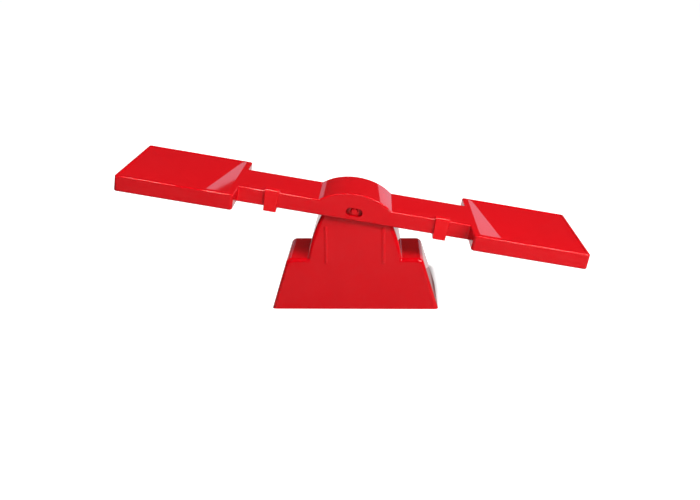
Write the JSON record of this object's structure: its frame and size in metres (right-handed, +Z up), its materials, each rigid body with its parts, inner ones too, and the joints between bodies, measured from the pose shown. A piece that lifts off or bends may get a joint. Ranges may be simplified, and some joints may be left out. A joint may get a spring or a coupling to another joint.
{
  "type": "toy balance scale",
  "caption": "Red plastic see-saw balance: a beam with a square tray at each end rocks on a pin in a hollow tower base, with sliding zero clips on its arms.",
  "frame": {"origin": "on the surface the base stands on, under the middle of the base and of the pivot", "axes": "+X along the beam to the viewer's right, +Y away from the viewer along the pivot pin, +Z up"},
  "size_m": [0.3662, 0.101, 0.12],
  "materials": {
    "base_plastic": "moulded gloss red polystyrene",
    "pin_plastic": "moulded gloss red plastic rod",
    "beam_plastic": "moulded gloss red polystyrene",
    "clip_plastic": "moulded gloss red plastic, slightly brighter"
  },
  "bodies": {
    "base": {"base": "base_plastic", "pivot_pin": "pin_plastic"},
    "beam": {"beam": "beam_plastic"},
    "left_clip": {"left_zero_clip": "clip_plastic"},
    "right_clip": {"right_zero_clip": "clip_plastic"}
  },
  "joints": [
    {"name": "beam_rock", "type": "hinge", "parent": "base", "child": "beam", "pos_m": [0, 0, 0.0825], "axis": [0, -1, 0], "range_deg": [0, 20.2]},
    {"name": "left_clip_slide", "type": "slide", "parent": "beam", "child": "left_clip", "axis": [0.9845, 0, -0.1754], "range_m": [-0.02, 0.023]},
    {"name": "right_clip_slide", "type": "slide", "parent": "beam", "child": "right_clip", "axis": [0.9845, 0, -0.1754], "range_m": [-0.026, 0.017]}
  ]
}
